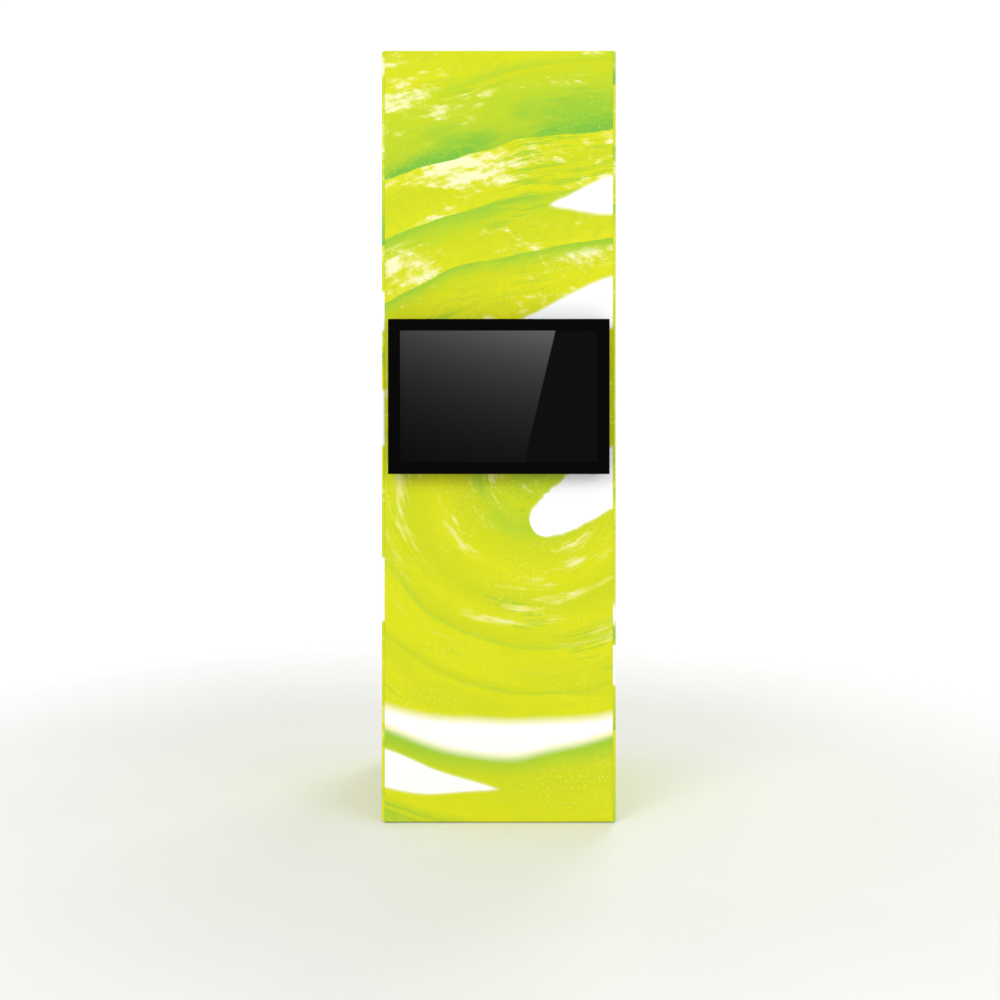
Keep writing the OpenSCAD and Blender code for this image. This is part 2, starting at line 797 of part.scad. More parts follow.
module hinge_leaves(side, knuckles) {
    color([0.7, 0.7, 0.72]) difference() {
        for (z = hinge_zs) translate([0, 0, z]) hinge_leaf(side, knuckles);
        at_hinge_screws(side) translate([0, 0, -1]) cylinder(r = hole_r, h = hinge_t + 2);
    }
}

module hinge_screws() {
    color([0.6, 0.6, 0.62]) at_hinge_screws(-1) screw(hinge_t + panel_t + 3);
}

module hinge_pins() {
    color([0.5, 0.5, 0.52]) for (z = hinge_zs) translate([hinge_x, hinge_y, z]) {
        cylinder(r = hinge_pin_r, h = hinge_h + 2, center = true);
        for (s = [-1, 1]) translate([0, 0, s * (hinge_h / 2 + 1)])
            cylinder(r = hinge_pin_r + 1.6, h = 1.6, center = true);
    }
}

module lock_body() {
    color([0.8, 0.8, 0.82]) difference() {
        union() {
            y_rod(lock_r, cam_y + cam_t + 1, face + 1, lock_x, lock_z);
            y_rod(lock_r + 2.5, face, face + 2.5, lock_x, lock_z);
        }
        y_rod(plug_r + fit, cam_y, face + 5, lock_x, lock_z);
    }
}

// The keyed plug and the cam on its inner end. The cam hangs down when the lock is open.
module lock_cam() {
    color([0.62, 0.6, 0.5]) translate([lock_x, 0, lock_z]) difference() {
        union() {
            y_rod(plug_r, cam_y, face + 2.4);
            y_rod(8, cam_y, cam_y + cam_t);
            translate([-8, cam_y, -cam_l]) cube([16, cam_t, cam_l]);
        }
        translate([-0.8, face - 6, -3]) cube([1.6, 20, 6]);
    }
}

// ---- Equipment --------------------------------------------------------------------------

module equipment_shelf() {
    w = 2 * (inner + bar - 8);
    lip = 16;
    color([0.2, 0.2, 0.22]) difference() {
        union() {
            slab([w, 2 * shelf_y, shelf_t], [0, 0, shelf_z]);
            for (s = [-1, 1]) slab([w, shelf_t, lip], [0, s * (shelf_y - shelf_t / 2), shelf_z]);
        }
        for (i = [0 : 9]) slab([8, 180, 10], [player_x - 81 + 18 * i, 0, shelf_z - 4]);
    }
}

// Case of the computer that drives the display, with slots in its lid and sockets at the front.
module media_player() {
    t = 2;
    w = player[0];
    d = player[1];
    h = player[2];
    color([0.15, 0.15, 0.17]) translate([player_x, 0, player_z]) difference() {
        slab(player);
        slab([w - 2 * t, d - 2 * t, h - 2 * t], [0, 0, t]);
        for (i = [0 : 11]) slab([6, 90, 10], [12 * (i - 5.5), 0, h - 5]);
        for (x = [-60, -30, 0, 30]) slab([20, 10, 12], [x, -d / 2, 14]);
        y_rod(4.5, d / 2 - 5, d / 2 + 5, 70, h / 2);
    }
}

module player_button() {
    back = player[1] / 2;
    color([0.7, 0.7, 0.72]) translate([player_x + 70, 0, player_z + player[2] / 2]) {
        y_rod(4.5 - fit - 0.02, back - 2 - eps, back + 1);
        y_rod(6, back - 4, back - 2);
    }
}

module power_strip() {
    color([0.9, 0.9, 0.9]) translate([strip_x, strip_y, player_z]) difference() {
        slab(strip);
        for (i = [-1 : 1]) translate([90 * i, 0, strip[2] - 12]) difference() {
            cylinder(r = 19, h = 20);
            for (s = [-1, 1]) translate([0, s * 6, -1]) cylinder(r = 1.8, h = 9);
        }
    }
}

// A cable that follows the points, with a ball at each bend.
module cable(points, r) {
    for (i = [0 : len(points) - 2]) {
        a = points[i];
        d = points[i + 1] - a;
        n = norm(d);
        translate(a) rotate([0, acos(d[2] / n), atan2(d[1], d[0])]) cylinder(r = r, h = n);
        if (i > 0) translate(a) sphere(r = r, $fn = 24);
    }
}

// From the inlet, up the rear left post and over to the power strip.
module mains_cable() {
    back = face - 22;
    rise = inner - 60;
    color([0.08, 0.08, 0.08]) cable([
        [inlet_x - 14, back, inlet_z], [inlet_x - 14, rise, inlet_z],
        [strip_x, rise, inlet_z], [strip_x, rise, player_z + lead_up],
        [strip_x, strip_y + strip[1] / 2, player_z + lead_up]
    ], 4);
}

// Mains and signal leads from the back of the display down to the shelf, and the lead from the
// power strip to the media player's first socket.
module equipment_leads() {
    from = disp_back - 12;
    fall = rail_y + bar + 40;
    low = player_z + lead_up;
    high = low + 40;
    strip_front = strip_y - strip[1] / 2;
    strip_end = strip_x + strip[0] / 2;
    player_front = -player[1] / 2;
    plug_x = strip_x + 90;
    color([0.06, 0.06, 0.06]) {
        cable([[-8, from, lead_z], [-8, fall, lead_z], [-8, fall, high], [plug_x, fall, high],
               [plug_x, strip_front - 30, high], [plug_x, strip_front - 30, low],
               [plug_x, strip_front, low]], 3.5);
        cable([[8, from, lead_z], [8, fall, lead_z], [8, fall, low],
               [player_x, fall, low], [player_x, player_front, low]], 3);
        cable([[strip_end, strip_y, low], [strip_end + 20, strip_y, low],
               [strip_end + 20, player_front - 25, low],
               [player_x - 60, player_front - 25, low], [player_x - 60, player_front, low]], 3);
    }
}

// ---- Parts ------------------------------------------------------------------------------

post(-1, -1);  // front_left_post
post(1, -1);  // front_right_post
post(-1, 1);  // rear_left_post
post(1, 1);  // rear_right_post
ring_rail(0, false);  // bottom_front_rail
ring_rail(1, false);  // bottom_right_rail
ring_rail(2, false);  // bottom_rear_rail
ring_rail(3, false);  // bottom_left_rail
ring_rail(0, true);  // top_front_rail
ring_rail(1, true);  // top_right_rail
ring_rail(2, true);  // top_rear_rail
ring_rail(3, true);  // top_left_rail
shelf_rails();
door_header();
display_rails();
corner_connectors();
rail_brackets();
frame_screws();
base_plate();
roof_panel();
foot(-1, -1);  // front_left_foot
foot(1, -1);  // front_right_foot
foot(-1, 1);  // rear_left_foot
foot(1, 1);  // rear_right_foot
front_graphic();
side_graphic(-1);  // left_graphic
side_graphic(1);  // right_graphic
rear_graphic();
graphic_lips();
kick_panel();
power_inlet();
inlet_switch();
display_spacers();
display_bolts();
bezel();
touch_frame();
touch_glass();
lcd_panel();
backlight_tray();
circuit_boards();
speakers();
rear_cover();
cover_screws();
key(power_key_x);  // power_button
key(input_key_x);  // input_button
volume_rocker();
door_frame();
door_panel();
hinge_leaves(-1, [1]);  // door_hinge_leaves
hinge_leaves(1, [0, 2]);  // post_hinge_leaves
hinge_pins();
hinge_screws();
lock_body();
lock_cam();
equipment_shelf();
media_player();
player_button();
power_strip();
mains_cable();
equipment_leads();
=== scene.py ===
import math

import bmesh
import bpy
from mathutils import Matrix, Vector, noise

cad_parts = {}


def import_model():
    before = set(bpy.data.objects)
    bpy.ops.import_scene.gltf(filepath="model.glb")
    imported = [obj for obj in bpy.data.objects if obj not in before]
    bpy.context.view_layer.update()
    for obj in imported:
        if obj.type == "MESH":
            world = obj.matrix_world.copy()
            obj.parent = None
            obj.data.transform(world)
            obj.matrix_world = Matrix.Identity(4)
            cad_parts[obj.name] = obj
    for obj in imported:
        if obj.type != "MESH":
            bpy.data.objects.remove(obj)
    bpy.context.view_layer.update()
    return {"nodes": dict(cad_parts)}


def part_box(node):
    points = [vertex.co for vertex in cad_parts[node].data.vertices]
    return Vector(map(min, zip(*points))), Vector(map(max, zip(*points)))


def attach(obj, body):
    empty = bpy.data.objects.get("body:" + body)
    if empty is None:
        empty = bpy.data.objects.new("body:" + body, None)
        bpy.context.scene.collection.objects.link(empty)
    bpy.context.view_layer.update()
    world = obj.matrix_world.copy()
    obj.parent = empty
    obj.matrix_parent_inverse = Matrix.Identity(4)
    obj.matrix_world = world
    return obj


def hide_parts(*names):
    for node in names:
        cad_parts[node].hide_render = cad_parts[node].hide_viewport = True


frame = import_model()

# Looks of the touchscreen kiosk: printed fabric drawn tight over an aluminium tower, a black
# touch display on its front, and a service door behind. Everything is in metres, +Z up, and
# the display faces -Y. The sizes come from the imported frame.

NODES = frame["nodes"]
MM = 0.001


# ---- Where things are ---------------------------------------------------------------------

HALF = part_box("right_graphic")[1].x         # half the tower's width, over its fabric
FRONT_LO, FRONT_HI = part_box("front_graphic")
BOTTOM, TOP = FRONT_LO.z, FRONT_HI.z
SEAM = HALF - FRONT_HI.x                    # from a side face to the edge of the front fabric
SIDE_FALL = 5 * MM                          # slope of each side's ends, from seam to face
CORNER_R = 8 * MM                           # of the tower's upright corners
HEADER_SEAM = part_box("rear_graphic")[0].z   # lower edge of the fabric over the door
DISPLAY_Z = sum(corner.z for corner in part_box("bezel")) / 2
HALF_PITCH = 200 * MM                       # of the display's mounting bolts
BOLT_HOLE_R, LEAD_HOLE_R = 13 * MM, 22 * MM
LEAD_DROP = 100 * MM                        # from the display's middle to its lead hole
BOLT_HOLES = [(x, DISPLAY_Z + z, BOLT_HOLE_R)
              for x in (-HALF_PITCH, HALF_PITCH) for z in (-HALF_PITCH, HALF_PITCH)]
LEAD_HOLE = (0.0, DISPLAY_Z - LEAD_DROP, LEAD_HOLE_R)
FRONT_HOLES = [*BOLT_HOLES, LEAD_HOLE]      # each as place across, place up and radius


# ---- Colours ------------------------------------------------------------------------------

def rgb(red, green, blue):
    """A colour given in 0 to 255 display values, as the linear numbers that a shader takes."""
    def linear(c):
        c /= 255
        return c / 12.92 if c <= 0.04045 else ((c + 0.055) / 1.055) ** 2.4
    return (linear(red), linear(green), linear(blue), 1)


YELLOW = rgb(221, 225, 30)
LIME = rgb(207, 217, 34)
LEAF = rgb(185, 212, 48)
GREEN = rgb(150, 201, 58)
DEEP = rgb(118, 190, 66)
PALE = rgb(240, 238, 120)
CREAM = rgb(253, 250, 214)
WHITE = rgb(255, 255, 255)


# ---- Shader building blocks -----------------------------------------------------------------

class Value:
    """A number in a node tree. Each operation on it adds a Math node."""

    def __init__(self, tree, socket):
        self.tree, self.socket = tree, socket

    def math(self, operation, *others):
        node = self.tree.nodes.new("ShaderNodeMath")
        node.operation = operation
        for slot, value in zip(node.inputs, (self, *others)):
            plug(self.tree, value, slot)
        return Value(self.tree, node.outputs[0])

    def __add__(self, other):
        return self.math("ADD", other)

    def __sub__(self, other):
        return self.math("SUBTRACT", other)

    def __mul__(self, other):
        return self.math("MULTIPLY", other)

    def __truediv__(self, other):
        return self.math("DIVIDE", other)

    def __abs__(self):
        return self.math("ABSOLUTE")


def plug(tree, value, slot):
    """Feeds a slot from a Value, a socket or a plain number or colour."""
    if isinstance(value, Value):
        tree.links.new(value.socket, slot)
    elif isinstance(value, bpy.types.NodeSocket):
        tree.links.new(value, slot)
    else:
        slot.default_value = value


class Graph:
    """Makes nodes in one tree."""

    def __init__(self, tree):
        self.tree = tree

    def node(self, kind, out=0, **inputs):
        node = self.tree.nodes.new(kind)
        for name, value in inputs.items():
            plug(self.tree, value, node.inputs[name])
        return node.outputs[out]

    def place(self):
        """The row-frame position, as three Values. It moves with the piece."""
        parts = self.tree.nodes.new("ShaderNodeSeparateXYZ")
        self.tree.links.new(self.node("ShaderNodeTexCoord", "Object"), parts.inputs[0])
        return [Value(self.tree, out) for out in parts.outputs]

    def vector(self, x, y, z):
        return self.node("ShaderNodeCombineXYZ", X=x, Y=y, Z=z)

    def noise(self, vector, scale, detail=2.0, roughness=0.5):
        out = self.node("ShaderNodeTexNoise", Vector=vector, Scale=scale, Detail=detail,
                        Roughness=roughness)
        return Value(self.tree, out)

    def smooth(self, low, high, value):
        """0 below low, 1 above high, eased between. Low may be above high, to turn it round."""
        node = self.tree.nodes.new("ShaderNodeMapRange")
        node.interpolation_type = "SMOOTHSTEP"
        for name, number in (("Value", value), ("From Min", low), ("From Max", high)):
            plug(self.tree, number, node.inputs[name])
        return Value(self.tree, node.outputs[0])

    def mix(self, factor, a, b):
        """From colour a to colour b as the factor goes from 0 to 1."""
        node = self.tree.nodes.new("ShaderNodeMix")
        node.data_type = "RGBA"
        for index, value in ((0, factor), (6, a), (7, b)):
            plug(self.tree, value, node.inputs[index])
        return node.outputs[2]

    def blend(self, factor, a, b):
        """The same for numbers."""
        node = self.tree.nodes.new("ShaderNodeMix")
        for index, value in ((0, factor), (2, a), (3, b)):
            plug(self.tree, value, node.inputs[index])
        return Value(self.tree, node.outputs[0])

    def ramp(self, value, stops):
        """Colours laid along a value: stops are (place, colour), in rising order."""
        low, high = stops[0][0], stops[-1][0]
        node = self.tree.nodes.new("ShaderNodeValToRGB")
        elements = node.color_ramp.elements
        while len(elements) < len(stops):
            elements.new(0.5)
        for element, (place, colour) in zip(elements, stops):
            element.position = (place - low) / (high - low)
            element.color = colour
        plug(self.tree, (value - low) / (high - low), node.inputs[0])
        return node.outputs[0]

    def bump(self, height, depth, strength):
        return self.node("ShaderNodeBump", Height=height, Distance=depth, Strength=strength)


def material(name, build):
    """A material whose Principled inputs come from build(graph), a dict of input to value."""
    made = bpy.data.materials.new(name)
    made.use_nodes = True
    shader = made.node_tree.nodes["Principled BSDF"]
    for key, value in build(Graph(made.node_tree)).items():
        plug(made.node_tree, value, shader.inputs[key])
    return made


# ---- The printed swirl ----------------------------------------------------------------------

# Places across and up one face, in metres. On the front, the display hides EYE.
EYE = (0.17, 1.40)         # middle of the lower swirl
PIVOT = (0.62, 0.00)       # middle of the broad arcs above the display
BOWL = (0.03, 1.56)        # middle of the rings that the white patches near the floor follow
DROP = (0.15, 1.12)        # blunt tip of the white drop under the display
DROP_LEAN = math.radians(33)

# Colours by distance from EYE, and by distance from PIVOT.
LOWER_BANDS = [
    (0.00, GREEN), (0.07, LEAF), (0.15, LIME), (0.24, LEAF), (0.30, LIME), (0.42, YELLOW),
    (0.54, LIME), (0.62, YELLOW), (0.70, LIME), (0.708, LEAF), (0.718, YELLOW), (0.86, YELLOW),
    (0.888, LIME), (0.893, LEAF), (0.902, YELLOW), (1.10, YELLOW), (1.24, LIME), (1.40, YELLOW),
    (1.46, LIME), (1.53, LEAF), (1.56, GREEN), (1.565, YELLOW), (1.72, LIME), (1.90, LEAF)]
UPPER_BANDS = [
    (1.70, LIME), (1.95, YELLOW), (2.18, YELLOW), (2.235, LIME), (2.265, LEAF),
    (2.292, GREEN), (2.296, YELLOW), (2.40, LIME), (2.46, LEAF), (2.50, GREEN), (2.504, YELLOW),
    (2.62, LIME), (2.715, YELLOW), (2.719, DEEP), (2.79, GREEN), (2.88, LEAF),
    (2.985, LIME), (2.99, LEAF), (3.04, YELLOW), (3.20, LIME)]


def polar(g, across, up, middle):
    """Distance from a middle, and the direction from it, which dies away close to the middle."""
    du, dz = across - middle[0], up - middle[1]
    radius = (du * du + dz * dz).math("SQRT")
    reach = radius.math("MAXIMUM", 0.001) / g.smooth(0.0, 0.12, radius).math("MAXIMUM", 0.001)
    return radius, du / reach, dz / reach


class Strokes:
    """Where a point lies among the brush strokes, which turn round EYE low down and round
    PIVOT above the display."""

    def __init__(self, g, u, z, seed):
        self.g, self.u, self.z, self.seed = g, u, z, seed
        drift = g.noise(g.vector(u, z, seed), 1.4) - 0.5
        sway = g.noise(g.vector(z, u, seed + 7.0), 1.4) - 0.5
        pu, pz = u + drift * 0.09, z + sway * 0.09
        self.low_r, low_c, low_s = polar(g, pu, pz, EYE)
        self.high_r, high_c, high_s = polar(g, pu, pz, PIVOT)
        self.bowl_r = polar(g, pu, pz, BOWL)[0]
        self.above = g.smooth(1.50, 1.85, z)
        self.r = g.blend(self.above, self.low_r, self.high_r)
        self.c = g.blend(self.above, low_c * 0.55, high_c * 2.2)
        self.s = g.blend(self.above, low_s * 0.55, high_s * 2.2)
        self.grain = g.noise(self.flow(3.0, 1.2), 3.0, 5.0, 0.62)
        self.hair = g.noise(self.flow(26.0, 2.4), 2.6, 5.0, 0.6)

    def flow(self, fine, long, shift=0.0, lean=0.0):
        """A place along the strokes: fine across them, long down their length."""
        slant = self.r * lean
        across = self.r * fine + (self.seed * 3.7 + shift)
        return self.g.vector(across, self.c * long + slant, self.s * long - slant)


def swirl(g, u, z, seed):
    """Broad strokes turned round two middles, like thick paint pulled with a wide brush."""
    strokes = Strokes(g, u, z, seed)
    colour = bands(g, strokes)
    colour = pigment(g, strokes, colour)
    colour = glints(g, strokes, colour)
    colour = dusting(g, strokes, colour)
    return whites(g, strokes, colour)


def bands(g, strokes):
    """The plain colours of the strokes, by their distance from each middle."""
    shift = (strokes.grain - 0.5) * 0.07
    low = g.ramp(strokes.low_r + shift, LOWER_BANDS)
    high = g.ramp(strokes.high_r + shift * 0.8, UPPER_BANDS)
    return g.mix(strokes.above, low, high)


def pigment(g, strokes, colour):
    """Soft blotches, a fine mottle that follows the strokes, and darker marks in them."""
    blotch = g.smooth(0.50, 0.66, g.noise(strokes.flow(3.0, 1.2), 2.2, 4.0, 0.55))
    colour = g.mix(blotch * 0.55, colour, LIME)
    mottle = g.smooth(0.50, 0.62, g.noise(strokes.flow(5.0, 3.0), 8.0, 6.0, 0.75))
    colour = g.mix(mottle * (strokes.above * 0.22 + 0.16), colour, LEAF)
    dark = g.smooth(0.53, 0.66, g.noise(strokes.flow(2.2, 0.8, 11.0), 2.2, 3.0))
    return g.mix(dark * g.smooth(0.50, 0.40, strokes.hair) * 0.6, colour, GREEN)


def glints(g, strokes, colour):
    """Wet glints on the yellow strokes: pale patches, broken by ripples above the display."""
    above = strokes.above
    split = g.tree.nodes.new("ShaderNodeSeparateColor")
    plug(g.tree, colour, split.inputs[0])
    ripe = g.smooth(0.42, 0.60, Value(g.tree, split.outputs[0]))
    ripe = ripe * g.blend(above, g.smooth(0.90, 0.55, strokes.low_r), 1.0)
    place = strokes.flow(above * -3.2 + 6.5, above * 0.35 + 1.15, 3.0, 1.3)
    patch = g.noise(place, 2.1, 7.0, 0.66)
    ripple = g.noise(strokes.flow(5.0, 13.0, strokes.grain * 3.0 + 5.0, 9.0), 2.3, 4.0, 0.6)
    wet = patch + (ripple - 0.5) * (above * 0.30 + 0.05) + (strokes.hair - 0.5) * 0.16
    wet = wet + g.smooth(1.8, 2.6, strokes.z) * 0.045
    colour = g.mix(g.smooth(0.545, 0.640, wet) * ripe * 0.62, colour, PALE)
    return g.mix(g.smooth(0.600, 0.690, wet) * ripe * (above * 0.30 + 0.45), colour, CREAM)


def dusting(g, strokes, colour):
    """Fine pale specks, mostly low down."""
    spot = g.vector(strokes.u, strokes.z, strokes.seed)
    specks = g.smooth(0.56, 0.68, g.noise(spot, 85.0, 3.0, 0.7))
    dusty = g.smooth(0.42, 0.62, g.noise(strokes.flow(2.0, 1.6, 9.0), 2.2, 4.0))
    return g.mix(specks * dusty * (strokes.above * -0.30 + 0.62), colour, PALE)


def drop_shape(g, u, z):
    """The white drop, as distance across it and its half width."""
    du, dz = u - DROP[0], z - DROP[1]
    along = du * math.cos(DROP_LEAN) + dz * math.sin(DROP_LEAN)
    across = dz * math.cos(DROP_LEAN) - du * math.sin(DROP_LEAN)
    run = along.math("MAXIMUM", 0.0)
    return across, (run / (run + 0.10)).math("SQRT") * 0.12


def whites(g, strokes, colour):
    """Bare white between the strokes, each patch with a cream rim."""
    u, z, bowl_r = strokes.u, strokes.z, strokes.bowl_r
    ragged = (strokes.grain - 0.5) * 0.04 + (strokes.hair - 0.5) * 0.012
    high_r = strokes.high_r + ragged * 0.5
    bowl_edge = bowl_r + ragged * 0.3
    near_floor = g.smooth(1.05, 0.95, z)
    over_display = g.smooth(1.6, 1.8, z)
    shade = g.smooth(1.270, 1.285, bowl_r) * g.smooth(1.40, 1.29, bowl_r) * near_floor
    colour = g.mix(shade * 0.85, colour, GREEN)
    drop_across, drop_half = drop_shape(g, u, z)
    bowl_half = g.smooth(0.75, 0.05, abs(u)) * 0.05 + 0.012
    patches = [  # distance, its middle, half width, where it may show, softness of its edge
        (high_r, 2.045, g.smooth(0.02, 0.46, u) * 0.105, over_display, 0.010),
        (high_r, 2.455, g.smooth(0.14, 0.46, u) * 0.075, over_display, 0.010),
        (drop_across + ragged, 0.035, drop_half, g.smooth(1.70, 1.58, z), 0.008),
        (bowl_edge, 1.235, bowl_half, near_floor, 0.030),
        (bowl_edge, 1.425, g.smooth(0.10, -0.46, u) * 0.075, near_floor, 0.008),
    ]
    for value, middle, half, where, soft in patches:
        where = where * g.smooth(0.004, 0.014, half)
        away = abs(value - middle)
        rim = g.smooth(half + soft, half - 0.012, away) * where
        core = g.smooth(half - 0.002, half - 0.6 * soft - 0.002, away) * where
        colour = g.mix(core, g.mix(rim, colour, CREAM), WHITE)
    return colour


def print_group():
    """The swirl as a node group: how far across and up, and a seed, to a colour."""
    tree = bpy.data.node_groups.new("swirl_print", "ShaderNodeTree")
    for name in ("Across", "Up", "Seed"):
        tree.interface.new_socket(name, in_out="INPUT", socket_type="NodeSocketFloat")
    tree.interface.new_socket("Color", in_out="OUTPUT", socket_type="NodeSocketColor")
    inputs = tree.nodes.new("NodeGroupInput")
    across, up, seed = (Value(tree, inputs.outputs[i]) for i in range(3))
    colour = swirl(Graph(tree), across, up, seed)
    tree.links.new(colour, tree.nodes.new("NodeGroupOutput").inputs[0])
    return tree


PRINT = print_group()
SEEDS = {"front": 2.0, "left": 12.0, "right": 23.0, "rear": 31.0}
LIFTS = {"front": 0.0, "left": 0.45, "right": -0.38, "rear": 0.12}  # the design's fall per face


def artwork(g, side):
    """The swirl on one face of the tower, with the place across and up that face."""
    x, y, z = g.place()
    across = {"front": x, "rear": x * -1.0, "right": y, "left": y * -1.0}[side]
    group = g.tree.nodes.new("ShaderNodeGroup")
    group.node_tree = PRINT
    for slot, value in zip(group.inputs, (across, z + LIFTS[side], SEEDS[side])):
        plug(g.tree, value, slot)
    return group.outputs[0], across, z


def knitted(g, across, up):
    """Height of a fine knit, with a little slackness in the cloth."""
    loops = (across * 5200.0).math("SINE") * (up * 4200.0).math("SINE")
    return loops * 0.5 + g.noise(g.vector(across, up, 0.0), 18.0, 3.0)


def printed_face(name, side):
    """The printed side of a fabric."""
    def build(g):
        colour, across, up = artwork(g, side)
        return {"Base Color": colour, "Specular IOR Level": 0.12, "Sheen Weight": 0.03,
                "Roughness": g.noise(g.vector(across, up, 0.0), 18.0, 3.0) * 0.1 + 0.76,
                "Normal": g.bump(knitted(g, across, up), 0.15 * MM, 0.35)}
    return material(name, build)


def lining(name, side):
    """The back of a fabric: white cloth with the ink showing faintly through."""
    def build(g):
        colour, across, up = artwork(g, side)
        streaks = g.noise(g.vector(across * 40.0, up * 900.0, 1.0), 1.0, 2.0)
        return {"Base Color": g.mix(streaks * 0.06 + 0.80, colour, rgb(243, 244, 238)),
                "Roughness": 0.85, "Specular IOR Level": 0.1,
                "Normal": g.bump(knitted(g, across, up), 0.15 * MM, 0.5)}
    return material(name, build)


def printed_panel(name, outer_y):
    """A rigid panel printed straight on its outer face, and powder coated behind."""
    def build(g):
        colour, across, up = artwork(g, "rear")
        _, y, _ = g.place()
        outside = g.smooth(outer_y - 1.0 * MM, outer_y - 0.8 * MM, y)
        soft = g.noise(g.vector(across, up, 0.0), 18.0, 3.0)
        peel = g.noise(g.vector(across, up, 0.0), 420.0, 2.0)
        return {"Base Color": g.mix(outside, rgb(226, 227, 224), colour),
                "Roughness": soft * 0.1 + outside * -0.12 + 0.45,
                "Coat Weight": outside * 0.15,
                "Normal": g.bump(soft + peel * 0.6, 0.1 * MM, 0.25)}
    return material(name, build)


# ---- Plain materials --------------------------------------------------------------------------

def brushed(name, colour, roughness, axis):
    """Metal drawn along one row axis, with long fine lines and a few scuffs."""
    def build(g):
        stretch = [2.0 if i == axis else 260.0 for i in range(3)]
        spot = [part * s for part, s in zip(g.place(), stretch)]
        lines = g.noise(g.vector(*spot), 3.0, 4.0, 0.7)
        scuffs = g.noise(g.vector(*g.place()), 9.0, 5.0, 0.6)
        tint = g.mix(lines, [c * 0.90 for c in colour[:3]] + [1], colour)
        rough = lines * 0.12 + scuffs * 0.10 + (roughness - 0.11)
        return {"Base Color": tint, "Metallic": 1.0, "Roughness": rough,
                "Normal": g.bump(lines, 0.02 * MM, 0.3)}
    return material(name, build)


def moulded(name, colour, roughness, grain=0.25, scale=900.0, coat=0.0, shine=0.5):
    """Plastic or powder coat with a fine moulded grain and slightly uneven sheen."""
    def build(g):
        spot = g.vector(*g.place())
        pits = g.noise(spot, scale, 2.0)
        cloud = g.noise(spot, 6.0, 3.0)
        tint = g.mix(cloud, [c * 0.86 for c in colour[:3]] + [1], colour)
        return {"Base Color": tint, "Roughness": cloud * 0.08 + (roughness - 0.04),
                "Coat Weight": coat, "Specular IOR Level": shine,
                "Normal": g.bump(pits, 0.05 * MM, grain)}
    return material(name, build)


def screen_glass():
    """Toughened glass over a dark panel: only its reflections show, with faint wiping marks."""
    def build(g):
        marks = g.noise(g.vector(*g.place()), 7.0, 5.0, 0.6)
        return {"Base Color": rgb(4, 4, 5), "Roughness": marks * 0.012 + 0.002, "IOR": 1.5}
    return material("touch_glass", build)


def circuit_green():
    """Solder mask with fine tracks under it."""
    def build(g):
        x, _, z = g.place()
        tracks = (x * 900.0).math("SINE").math("MAXIMUM", (z * 900.0).math("SINE"))
        tint = g.mix(g.smooth(0.86, 0.95, tracks), rgb(10, 70, 34), rgb(60, 140, 70))
        return {"Base Color": tint, "Roughness": 0.35}
    return material("circuit_green", build)


def dress(look, *names):
    """Gives CAD nodes a material."""
    for name in names:
        for slot in NODES[name].material_slots:
            slot.material = look


def weld(node, title):
    """Joins points that lie together, so that no sliver stays among the faces."""
    joined = node.modifiers.new(title, "WELD")
    joined.merge_threshold = 0.01 * MM


def soften(width, *names):
    """Breaks the sharp edges of CAD nodes with a small bevel, so that they catch the light."""
    for name in names:
        node = NODES[name]
        weld(node, "joined")
        flat = node.modifiers.new("whole_faces", "DECIMATE")
        flat.decimate_type = "DISSOLVE"
        flat.angle_limit = math.radians(0.5)
        bevel = node.modifiers.new("soft_edges", "BEVEL")
        bevel.width = width
        bevel.segments = 2
        bevel.limit_method = "ANGLE"
        bevel.angle_limit = math.radians(40)
        weld(node, "cleaned")


def dress_frame():
    upright = brushed("drawn_upright", rgb(206, 208, 212), 0.34, 2)
    along_x = brushed("drawn_across", rgb(206, 208, 212), 0.34, 0)
    along_y = brushed("drawn_deep", rgb(206, 208, 212), 0.34, 1)
    dress(upright, "front_left_post", "front_right_post", "rear_left_post", "rear_right_post",
          "door_frame")
    dress(along_x, "bottom_front_rail", "bottom_rear_rail", "top_front_rail", "top_rear_rail",
          "door_header", "display_rails", "kick_panel", "roof_panel")
    dress(along_y, "bottom_left_rail", "bottom_right_rail", "top_left_rail", "top_right_rail",
          "shelf_rails")
    dress(brushed("zinc_steel", rgb(186, 188, 186), 0.36, 0), "rail_brackets", "frame_screws",
          "display_spacers", "backlight_tray", "door_hinge_leaves", "post_hinge_leaves",
          "hinge_pins", "hinge_screws", "lock_cam")
    dress(brushed("lock_chrome", rgb(222, 222, 224), 0.16, 2), "lock_body", "player_button")
    dress(brushed("cast_alloy", rgb(120, 122, 126), 0.55, 2), "corner_connectors")
    dress(moulded("black_bolt", rgb(34, 34, 36), 0.38), "display_bolts", "cover_screws")
    dress(moulded("base_paint", rgb(62, 63, 66), 0.55, 0.5, 500.0), "base_plate",
          "equipment_shelf")
    dress(moulded("foot_plastic", rgb(34, 34, 35), 0.5), "front_left_foot",
          "front_right_foot", "rear_left_foot", "rear_right_foot")
    dress(moulded("lip_silicone", rgb(224, 224, 218), 0.5), "graphic_lips")


